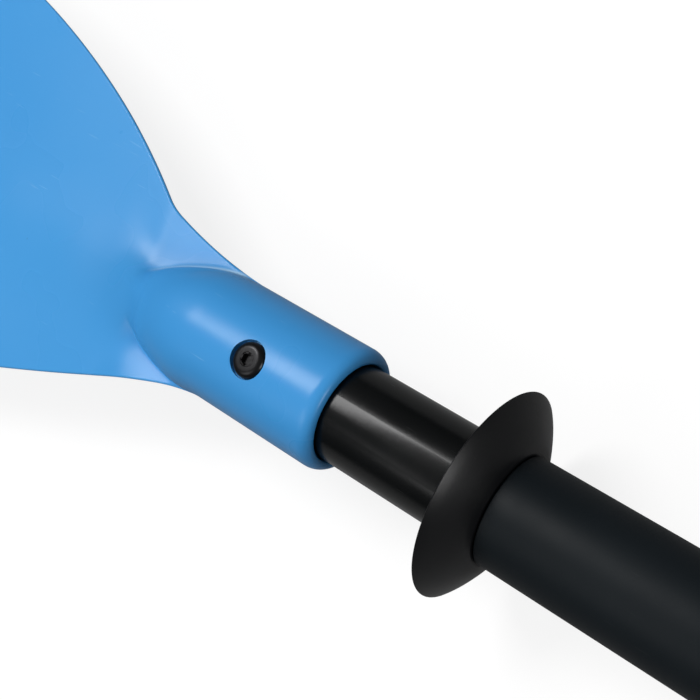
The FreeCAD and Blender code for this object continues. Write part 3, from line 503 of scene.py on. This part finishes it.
def faceAt(run, side):
    # height of the plate's shown face, without the nose
    sizes = bladeSizes
    dish = along(sizes["hollow"], run) * (side / sizes["hollowHalf"]) ** 2
    ridge = sizes["ridgeTall"] * smoothStep(*sizes["ridgeGrow"], run)
    ridge *= 1 - smoothStep(*sizes["ridgeFade"], run)
    ridge *= math.exp(-(side / sizes["ridgeHalf"]) ** 2)
    word = "Upper" if side < 0 else "Lower"
    start, lean = sizes["fold" + word]
    steady, extra, reach = sizes["fall" + word]
    before = softMax(start + lean * abs(side) - run, 0.0, sizes["bend" + word])
    fall = steady * before + extra * (1 - math.exp(-before / reach))
    lift = 0.0
    if side > 0:
        beyond = softMax(side - along(sizes["crownLower"], run), 0.0, sizes["liftSoft"])
        lift = sizes["liftLower"] * beyond * (1 - smoothStep(*sizes["liftFade"], run))
    return along(sizes["faceRise"], run) + dish + ridge + lift - fall


def noseAt(run, side, face):
    # how far the shown side of the nose stands over the face
    sizes = bladeSizes
    word = "Upper" if side < 0 else "Lower"
    half = along(sizes["crown" + word], run)
    foot = faceAt(run, 0.0) * smoothStep(*sizes["footGrow"], run)
    share = abs(side) / half
    if share < 1:
        crown = foot + (along(sizes["crownTop"], run) - foot) * math.sqrt(1 - share * share)
    else:
        crown = foot - sizes["skirtSteep"] * (abs(side) - half)
    rise = softMax(crown - face, 0.0, sizes["creaseRound"] * smoothStep(*sizes["creaseGrow"], run))
    swell = along(sizes["swellTall"], run) * math.exp(-(side / along(sizes["swell" + word], run)) ** 2)
    lower = smoothStep(-sizes["throatBlend"], sizes["throatBlend"], side)
    share = smoothStep(*sizes["throatUpper"], run) * (1 - lower)
    share += smoothStep(*sizes["throatLower"], run) * lower
    return rise * (1 - share) + swell * share


def backNoseAt(run, side):
    # depth of the nose's round back, or a value far inside the plate where there is none
    radius = along(bladeSizes["crownBack"], run)
    if radius <= 0:
        return -60.0
    if abs(side) < radius:
        return math.sqrt(radius ** 2 - side ** 2)
    return -3.0 * (abs(side) - radius)


def spineAt(run, side):
    # back rib: lowest height at this place, or a high value where there is none
    sizes = bladeSizes
    crest = along(sizes["spineCrest"], run)
    slope = max(0.0, abs(side) - sizes["spineTop"]) / (sizes["spineWide"] - sizes["spineTop"])
    sink = sizes["spineSink"] * smoothStep(sizes["spineEnd"] - 40, sizes["spineEnd"] + 10, run)
    return crest + sizes["spineFlare"] * slope ** 1.5 + sink


def plateThickness(side, depth):
    # full in the middle, thinned from behind towards the edge
    sizes = bladeSizes
    share = min(1.0, abs(side) / sizes["hollowHalf"])
    full = sizes["thickCentre"] + (sizes["thickEdge"] - sizes["thickCentre"]) * share
    inner = 1 - min(1.0, depth / sizes["edgeTaper"])
    return sizes["thinEdge"] + (full - sizes["thinEdge"]) * (1 - inner * inner)


def sectionPoint(run, angle):
    # a point of the blade's skin: angle 0 is the +Y edge, a quarter turn the shown face
    sizes = bladeSizes
    if run <= sizes["neckLong"]:
        radius = sizes["neckRadius"]
        return Vector((run, radius * math.cos(angle), radius * math.sin(angle)))
    flank = flankAt(run, math.cos(angle) < 0)
    side = heightOnArc(flank, run) * math.cos(angle)
    depth = max(0.0, insideArc(flank, run, abs(side)))
    grown = smoothStep(*sizes["plateGrow"], run)
    thick = plateThickness(side, depth) * grown
    face = faceAt(run, side) * grown
    inner = 1 - min(1.0, depth / sizes["edgeRound"])
    rounding = sizes["edgeRound"] * grown * (1 - math.sqrt(1 - inner * inner))
    if depth < 1e-6:
        return Vector((run, side, face - thick / 2))
    if math.sin(angle) >= 0:
        return Vector((run, side, face + noseAt(run, side, face) - rounding))
    tight = sizes["backTight"] * smoothStep(*sizes["creaseGrow"], run)
    tight += sizes["backSoft"] * smoothStep(*sizes["backFade"], run)
    height = -softMax(thick - face - rounding, backNoseAt(run, side), tight)
    rib = spineAt(run, side)
    if rib < height + 3:
        height = -softMax(-height, -rib, sizes["ribSoft"])
    return Vector((run, side, height))


def bladeRows():
    # rows of the skin: up the bore, round the mouth and lip, then along the outside to the tip
    sizes = bladeSizes
    bore, neck = sizes["boreRadius"], sizes["neckRadius"]
    rows = [("ring", sizes["boreDeep"], 0.0)]
    rows += [("ring", sizes["boreDeep"], bore * share) for share in (0.35, 0.7, 1.0)]
    rows += [("ring", run, bore) for run in (40, 30, 20, 12, 6, 3, 1.5)]
    bevel = sizes["mouthBevel"]
    for step in range(7):
        turn = math.radians(15 * step)
        rows.append(("ring", bevel * (1 - math.sin(turn)), bore + bevel * (1 - math.cos(turn))))
    lip = sizes["lipRound"]
    for step in range(15):
        turn = math.radians(90 * step / 14)
        rows.append(("ring", sizes["lipLong"] * (1 - math.cos(turn)), neck - lip * (1 - math.sin(turn))))
    gap, count = sizes["neckRows"]
    rows += [("skin", sizes["lipLong"] + gap * (step + 1), 0) for step in range(count)]
    for first, gap, count in sizes["skinRows"]:
        rows += [("skin", first + gap * step, 0) for step in range(count)]
    last = rows[-1][1]
    for step in range(1, sizes["tipRows"] + 1):
        turn = math.pi / 2 * step / sizes["tipRows"]
        rows.append(("skin", last + (tipRun - last) * math.sin(turn), 0))
    return rows


def paintedCreaseHighlight(run, place):
    # how strong the painted highlight is in the crease beside the nose, on the -Y side
    if place.y >= 0 or place.z < 0:
        return 0.0
    sizes = bladeSizes
    off = abs(place.y) - along(sizes["crownUpper"], run) - sizes["highlightOut"]
    ends = smoothStep(*sizes["highlightGrow"], run) * (1 - smoothStep(*sizes["highlightFade"], run))
    return ends * math.exp(-(off / sizes["highlightWide"]) ** 2)


screwSeat = {"radius": 5.45, "floor": 15.9, "hole": 2.75, "holeFloor": 8.0, "top": 30.0}


def cutRecess(piece):
    # flat-bottomed seat for the screw's head, and the hole below it
    low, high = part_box("blade_screw")
    x, y = (low.x + high.x) / 2 / mm, (low.y + high.y) / 2 / mm
    seat = screwSeat
    for radius, floor in ((seat["radius"], seat["floor"]), (seat["hole"], seat["holeFloor"])):
        applyCut(piece, uprightTool(x, y, floor, seat["top"], radius, 96))


def makeBlade():
    rows = bladeRows()
    columns = bladeSizes["columns"]
    shape = bmesh.new()
    bmesh.ops.create_grid(shape, x_segments=columns, y_segments=len(rows) - 1, size=1)
    painted_crease_highlight = shape.verts.layers.float.new("painted_crease_highlight")
    for corner in shape.verts:
        angle = math.pi * (corner.co.x + 1)
        kind, run, radius = rows[round((corner.co.y + 1) / 2 * (len(rows) - 1))]
        if kind == "ring":
            place = Vector((run, radius * math.cos(angle), radius * math.sin(angle)))
        else:
            place = sectionPoint(min(run, tipRun - 1e-5), angle)
        corner.co = (place + Vector((mouthX, 0, 0))) * mm
        # strength of the painted crease highlight at this point
        corner[painted_crease_highlight] = paintedCreaseHighlight(run, place) if kind == "skin" else 0.0
    piece = finishMesh("blade_skin", shape, finishes["blade"], "oar", sharp=75)
    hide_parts("blade")
    cutRecess(piece)


makeBlade()
print("blade made")


bladeScrew = {
    "radius": 5.0, "tall": 2.75, "shift": -0.3, "foot": 0.15, "sideShare": 0.32, "flatShare": 0.62,
    # socket: across its flats, its depth, and how much narrower its floor is
    "hex": 3.3, "hexDeep": 1.6, "floorShare": 0.96,
    # bevel round the socket's mouth: its depth, and the cone that cuts it
    "bevel": 0.2, "bevelShare": 0.98, "bevelOut": 2.2, "bevelTall": 2.35, "over": 2.0,
}


def makeBladeScrew():
    # domed head with a hex socket and a narrow bevel round its mouth
    low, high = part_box("blade_screw")
    sizes = bladeScrew
    x, y = (low.x + high.x) / 2 / mm + sizes["shift"], (low.y + high.y) / 2 / mm
    top, radius, flat = high.z / mm, sizes["radius"], sizes["flatShare"]
    foot = top - sizes["tall"]
    side = foot + sizes["tall"] * sizes["sideShare"]
    profile = [(0, foot), (radius - sizes["foot"], foot), (radius, foot + sizes["foot"]), (radius, side)]
    for step in range(1, 15):
        turn = math.radians(90 * step / 14)
        profile.append((radius * (flat + (1 - flat) * math.cos(turn)), side + (top - side) * math.sin(turn)))
    profile.append((0, top))
    piece = finishMesh("blade_screw_head", spinUpright(profile, x, y, 96), finishes["screw"], "oar",
                       sharp=35)
    socket, mouth = sizes["hex"] / math.sqrt(3), top - sizes["bevel"]
    tool = bmesh.new()
    addCone(tool, x, y, top - sizes["hexDeep"], top + sizes["over"], socket * sizes["floorShare"], socket, 6)
    addCone(tool, x, y, mouth, mouth + sizes["bevelTall"], socket * sizes["bevelShare"],
            socket + sizes["bevelOut"], 48)
    applyCut(piece, tool, crossing=True)
    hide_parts("blade_screw")


makeBladeScrew()
print("screw made")


tubeSizes = {"shaftWall": 1.5, "shaftRound": 0.3, "sleeveWall": 1.22, "sleeveRound": 0.4, "sleeveAhead": 2.3}


def makeTube(name, node, wall, finish, blend, ahead=0.0):
    low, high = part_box(node)
    outer = high.z / mm
    start, end = low.x / mm, high.x / mm + ahead
    corners = [(start, outer - wall, 0.2), (end, outer - wall, 0.2), (end, outer, blend),
               (start, outer, blend)]
    piece = finishMesh(name, spinShape(roundProfile(corners)), finish, "oar")
    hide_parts(node)


for name, node in (("lower_tube", "lower_shaft"), ("upper_tube", "upper_shaft")):
    makeTube(name, node, tubeSizes["shaftWall"], finishes["shaft"], tubeSizes["shaftRound"])
for name, node, ahead in (("lower_sleeve_skin", "lower_sleeve", tubeSizes["sleeveAhead"]),
                          ("upper_sleeve_skin", "upper_sleeve", 0.0)):
    makeTube(name, node, tubeSizes["sleeveWall"], finishes["sleeve"],
             tubeSizes["sleeveRound"], ahead)


dripRing = {
    "hub": 15.8, "bore": 14.06, "hubLong": 5.0, "hubWall": 1.8, "rimOver": 0.95, "rimLand": 1.0,
    "backAhead": 2.3,
    # how far out from the bore the bowl's inner face starts, and how far in from the rim it stops
    "innerStart": 3.2, "innerStop": 2.2,
    # how far behind the rim the bowl's back lies at each radius, and its wall there
    "back": [(15.8, 7.4), (18, 6.65), (21, 5.25), (24, 3.55), (26.5, 1.95), (28.1, 0.75), (29.0, 0.0)],
    "wall": [(15.8, 2.0), (18, 1.9), (24, 1.6), (29.0, 1.2)],
}


def makeDripRing():
    low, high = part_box("drip_ring")
    ring = dripRing
    back, rim, outer = low.x / mm + ring["backAhead"], high.x / mm, high.z / mm + ring["rimOver"]
    hub, bore = ring["hub"], ring["bore"]
    hubFace = back + ring["hubLong"]
    radii = [hub + (outer - hub) * step / 24 for step in range(25)]
    outside = [(rim - along(ring["back"], radius), radius) for radius in radii]
    inside = [(min(run + along(ring["wall"], radius), rim), radius) for run, radius in reversed(outside)
              if bore + ring["innerStart"] < radius < outer - ring["innerStop"]]
    corners = [(back, bore, 0.2), (back, hub, 0.3)] + [(*point, 0) for point in outside[1:-1]]
    corners += [(*outside[-1], 0.25), (rim, outer - ring["rimLand"], 0.4)]
    corners += [(*point, 0) for point in inside]
    corners += [(hubFace, bore + ring["hubWall"], 0.4), (hubFace, bore, 0.2)]
    piece = finishMesh("drip_ring_bowl", spinShape(roundProfile(corners), 192), finishes["ring"], "drip_ring",
                       sharp=50)
    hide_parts("drip_ring")


makeDripRing()
print("tubes and ring made")


button = {"radius": 3.9, "dome": 1.5, "domeRound": 1.9, "flange": 1.4, "hole": 4.05, "holeFrom": 5.0,
          "holeTo": 20.0}


def makeSnapButton():
    # flanged button with a domed top, and the hole for it in the lower tube
    low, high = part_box("snap_button")
    sizes = button
    x, foot, top = (low.x + high.x) / 2 / mm, low.z / mm, high.z / mm
    flange, ledge = (high.x - low.x) / 2 / mm, foot + sizes["flange"]
    profile = [(0, foot), (flange, foot), (flange, ledge), (sizes["radius"], ledge)]
    for step in range(13):
        turn = math.radians(90 * step / 12)
        profile.append((sizes["radius"] - sizes["domeRound"] * (1 - math.cos(turn)),
                        top - sizes["dome"] * (1 - math.sin(turn))))
    profile.append((0, top))
    piece = finishMesh("snap_button_dome", spinUpright(profile, x, 0), finishes["zinc"], "snap_button",
                       sharp=40)
    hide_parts("snap_button")
    tube = bpy.data.objects["lower_tube"]
    applyCut(tube, uprightTool(x, 0, sizes["holeFrom"], sizes["holeTo"], sizes["hole"]))


def makeSnapSpring():
    # the folded leaf, copied from the snap_spring node's mesh
    shape = bmesh.new()
    shape.from_mesh(nodes["snap_spring"].data)
    piece = finishMesh("snap_spring_leaf", shape, finishes["spring"], "oar")
    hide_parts("snap_spring")
    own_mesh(piece)


rivetHead = {"radius": 3.5, "tall": 1.3, "rise": 0.95, "under": 0.3, "shank": 2.0, "shankDeep": 4.0}


def makeRivets():
    # four domed heads with stub shanks, two on each side of the tube
    low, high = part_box("spigot_rivets")
    sizes = rivetHead
    outer, radius = high.y / mm, sizes["radius"]
    deep, seat = outer - sizes["shankDeep"], outer - sizes["tall"] - sizes["under"]
    profile = [(0, deep), (sizes["shank"], deep), (sizes["shank"], seat), (radius, seat),
               (radius, outer - sizes["rise"])]
    for step in range(1, 11):
        turn = math.radians(90 * step / 10)
        profile.append((radius * math.cos(turn), outer - sizes["rise"] * (1 - math.sin(turn))))
    shape = bmesh.new()
    for x in (low.x / mm + radius, high.x / mm - radius):
        for tilt in (-90, 90):
            one = spinUpright(profile, x, 0, 48, tilt)
            mesh = bpy.data.meshes.new("rivet")
            one.to_mesh(mesh)
            one.free()
            shape.from_mesh(mesh)
            bpy.data.meshes.remove(mesh)
    piece = finishMesh("spigot_rivet_heads", shape, finishes["rivet"], "oar", sharp=40)
    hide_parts("spigot_rivets")


gripSizes = {"butt": 40.0, "grip": 34.0, "bore": 28.06, "lip": 3.0, "grooveWide": 3.0, "grooveDeep": 1.0,
             "grooveSlope": 0.5, "pitch": 16.0, "grooves": 5}


def makeGrip():
    low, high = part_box("handle_grip")
    butt, end = low.x / mm, high.x / mm
    sizes = gripSizes
    bore, big, hand = sizes["bore"] / 2, sizes["butt"] / 2, sizes["grip"] / 2
    lip, wide, slope = sizes["lip"], sizes["grooveWide"], sizes["grooveSlope"]
    floor = hand - sizes["grooveDeep"]
    start = (butt + end + lip - sizes["pitch"] * (sizes["grooves"] - 1) - wide) / 2
    corners = [(end, bore, 0.3), (butt, bore, 0.3), (butt, big - lip, 1.0), (butt + lip, big, 1.6),
               (butt + 2 * lip, big, 1.6), (butt + 5 * lip, hand, 8.0)]
    for index in range(sizes["grooves"]):
        place = start + index * sizes["pitch"]
        corners += [(place, hand, 0.7), (place + slope, floor, 0.6), (place + wide - slope, floor, 0.6),
                    (place + wide, hand, 0.7)]
    corners.append((end, hand, 1.6))
    piece = finishMesh("hand_grip", spinShape(roundProfile(corners, 5), 144), finishes["grip"], "oar",
                       sharp=50)
    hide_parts("handle_grip")


endCap = {
    "stem": 12.44, "edge": 17.0, "seat": 5.0, "shoulder": 1.2,
    # outer face as (how far in, radius, round): a flat middle, a groove and a sloping rim
    "face": [(0, 0, 0), (0, 7.2, 0), (0.1, 9.0, 0.2), (0.8, 9.4, 0.2), (0.8, 10.6, 0.2), (0.15, 11.0, 0.3),
             (0.7, 14.0, 2.0)],
}


def makeEndCap():
    low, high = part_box("grip_end_cap")
    face, end, stem, edge = low.x / mm, high.x / mm, endCap["stem"], endCap["edge"]
    seat = face + endCap["seat"]
    corners = [(face + inward, radius, blend) for inward, radius, blend in endCap["face"]]
    corners += [(seat - endCap["shoulder"], edge, 1.2), (seat, edge, 0.3), (seat, stem, 0), (end, stem, 1.0),
                (end, 0, 0)]
    piece = finishMesh("grip_cap", spinShape(roundProfile(corners), 128, closed=False), finishes["plastic"],
                       "oar", sharp=50)
    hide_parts("grip_end_cap")


collar = {"bore": 15.31, "hub": 19.5, "flangeThick": 6.0, "round": 1.6, "lugInset": 6.0, "lugWide": 14.0,
          "lugHalf": 7.5, "lugRound": 2.2, "slit": 2.4, "clampHole": 2.75, "headSeat": 4.5, "seatSink": 3.0,
          "nutFlats": 8.2, "clampReach": 26.0, "lugRoot": 1.6, "slitOver": 2.0}


def makeStopCollar():
    low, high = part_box("stop_collar")
    back, face, edge, reach = low.x / mm, high.x / mm, high.z / mm, high.y / mm
    sizes = collar
    ledge, blend = face - sizes["flangeThick"], sizes["round"]
    corners = [(back, sizes["bore"], 0.5), (back, sizes["hub"], blend), (ledge, sizes["hub"], blend * 1.5),
               (ledge, edge, blend), (face, edge, blend), (face, sizes["bore"], 0.5)]
    piece = finishMesh("stop_collar_ring", spinShape(roundProfile(corners), 160), finishes["plastic"],
                       "stop_collar", sharp=45)
    x, y = back + sizes["lugInset"] + sizes["lugWide"] / 2, sizes["clampReach"]
    root = sizes["bore"] + sizes["lugRoot"]
    middle = (root + reach) / 2
    lug = boxTool((x, middle, 0), (sizes["lugWide"], reach - root, 2 * sizes["lugHalf"]))
    outer = [line for line in lug.edges if all(end.co.y > middle * mm for end in line.verts)]
    sides = [line for line in lug.edges if abs(line.verts[0].co.y - line.verts[1].co.y) > mm]
    bmesh.ops.bevel(lug, geom=outer + sides, offset=sizes["lugRound"] * mm, offset_type="OFFSET", segments=5,
                    profile=0.5, affect="EDGES", material=-1)
    applyCut(piece, lug, "UNION")
    slitLong = face - back + 2 * sizes["slitOver"]
    applyCut(piece, boxTool(((back + face) / 2, edge, 0), (slitLong, 2 * edge, sizes["slit"])))
    seat = sizes["lugHalf"] - sizes["seatSink"]
    applyCut(piece, uprightTool(x, y, -edge, edge, sizes["clampHole"], 48))
    applyCut(piece, uprightTool(x, y, seat, edge, sizes["headSeat"], 64))
    applyCut(piece, uprightTool(x, y, -edge, -seat, sizes["nutFlats"] / math.sqrt(3), 6))
    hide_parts("stop_collar")


clampScrew = {"shank": 2.5, "chamfer": 0.3, "headTall": 5.0, "headRound": 0.6, "hex": 4.0, "hexDeep": 2.5}


def makeCollarScrew():
    low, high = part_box("collar_screw")
    sizes = clampScrew
    x, y = (low.x + high.x) / 2 / mm, (low.y + high.y) / 2 / mm
    top, foot, radius = high.z / mm, low.z / mm, (high.x - low.x) / 2 / mm
    seat, shank = top - sizes["headTall"], sizes["shank"]
    chamfer, blend = sizes["chamfer"], sizes["headRound"]
    profile = [(0, foot), (shank - chamfer, foot), (shank, foot + chamfer), (shank, seat), (radius, seat),
               (radius, top - blend)]
    for step in range(1, 5):
        turn = math.radians(22.5 * step)
        profile.append((radius - blend * (1 - math.cos(turn)), top - blend * (1 - math.sin(turn))))
    profile.append((0, top))
    piece = finishMesh("clamp_screw", spinUpright(profile, x, y), finishes["screw"], "stop_collar",
                       sharp=35)
    applyCut(piece, uprightTool(x, y, top - sizes["hexDeep"], top + 2, sizes["hex"] / math.sqrt(3), 6))
    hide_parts("collar_screw")


makeSnapSpring()
makeSnapButton()
makeRivets()
makeGrip()
makeEndCap()
makeStopCollar()
makeCollarScrew()
print("handle, collar and button made")


nodeFinish = {
    "socket_plug": finishes["plastic"], "plug_nut": finishes["zinc"], "collar_nut": finishes["zinc"],
    "lower_float_plug": finishes["foam"], "upper_float_plug": finishes["foam"],
    "spigot": finishes["shaft"],
}
for nodeName, finish in nodeFinish.items():
    for index in range(len(nodes[nodeName].data.materials)):
        nodes[nodeName].data.materials[index] = finish


stage = {"floorHalf": 6.0, "floorMiddle": 0.3, "floorGlow": 0.83, "glossyShare": 0.12, "floorRough": 0.9,
         "floorTint": (0.2, 0.2, 0.2, 1), "zenith": 0.34, "horizon": 0.02}


def makeFloor():
    shape = bmesh.new()
    bmesh.ops.create_grid(shape, x_segments=1, y_segments=1, size=stage["floorHalf"],
                          matrix=Matrix.Translation((stage["floorMiddle"], 0, cadLow.z)))
    mesh = bpy.data.meshes.new("floor")
    shape.to_mesh(mesh)
    shape.free()
    floor = bpy.data.objects.new("floor", mesh)
    bpy.context.scene.collection.objects.link(floor)
    finish, tree, shader = newFinish("pale_floor")
    shader.inputs["Base Color"].default_value = stage["floorTint"]
    shader.inputs["Roughness"].default_value = stage["floorRough"]
    shader.inputs["Specular IOR Level"].default_value = 0.0
    # glows to the camera and hardly at all to the pieces that mirror it
    path = addNode(tree, "ShaderNodeLightPath")
    mirrored = combine(tree, "MULTIPLY", path.outputs["Is Glossy Ray"], stage["glossyShare"])
    seen = combine(tree, "MAXIMUM", path.outputs["Is Camera Ray"], mirrored)
    seen = combine(tree, "MAXIMUM", seen, path.outputs["Is Transmission Ray"])
    shader.inputs["Emission Color"].default_value = (1, 1, 1, 1)
    tree.links.new(combine(tree, "MULTIPLY", seen, stage["floorGlow"]), shader.inputs["Emission Strength"])
    mesh.materials.append(finish)


def makeWorld():
    world = bpy.data.worlds.new("studio")
    bpy.context.scene.world = world
    world.use_nodes = True
    back = world.node_tree.nodes["Background"]
    back.inputs["Color"].default_value = (1, 1, 1, 1)
    # brightest overhead, dim at the horizon
    place = addNode(world.node_tree, "ShaderNodeTexCoord")
    split = addNode(world.node_tree, "ShaderNodeSeparateXYZ", {"Vector": place.outputs["Generated"]})
    level = fitRange(world.node_tree, split.outputs["Z"], 0.0, 1.0, stage["horizon"], stage["zenith"])
    world.node_tree.links.new(level, back.inputs["Strength"])


softBoxes = {
    # direction from the blade's neck, distance, size and watts
    "key": {"toward": (0.47, -0.22, 0.86), "away": 1.6, "size": (0.72, 0.46), "watts": 15.2},
    "side": {"toward": (0.2, 0.62, 0.75), "away": 1.8, "size": (0.9, 0.9), "watts": 6.5},
    "behind": {"toward": (-0.93, -0.02, 0.3), "away": 1.7, "size": (0.6, 0.4), "watts": 12},
}


def makeLights():
    aim = Vector((mouthX * mm, 0, 0))
    for name, box in softBoxes.items():
        light = bpy.data.lights.new(name, "AREA")
        light.shape = "RECTANGLE"
        light.size, light.size_y = box["size"]
        light.energy = box["watts"]
        lamp = bpy.data.objects.new(name, light)
        bpy.context.scene.collection.objects.link(lamp)
        toward = Vector(box["toward"]).normalized()
        lamp.location = aim + toward * box["away"]
        lamp.rotation_mode = "QUATERNION"
        lamp.rotation_quaternion = toward.to_track_quat("Z", "Y")
        lamp.visible_camera = False


view = {"lens": 66.094, "sensor": 36.0, "nearest": 0.01, "place": (0.5313276, -0.0312722, 0.2975354),
        "turn": (12.7378, 26.9580, -147.8102)}


def makeCamera():
    camera = bpy.data.cameras.new("camera")
    camera.lens, camera.sensor_width = view["lens"], view["sensor"]
    camera.clip_start = view["nearest"]
    rig = bpy.data.objects.new("camera", camera)
    bpy.context.scene.collection.objects.link(rig)
    rig.location = view["place"]
    rig.rotation_euler = [math.radians(angle) for angle in view["turn"]]
    bpy.context.scene.camera = rig


makeFloor()
makeWorld()
makeLights()
makeCamera()
bpy.context.scene.view_settings.view_transform = "Standard"
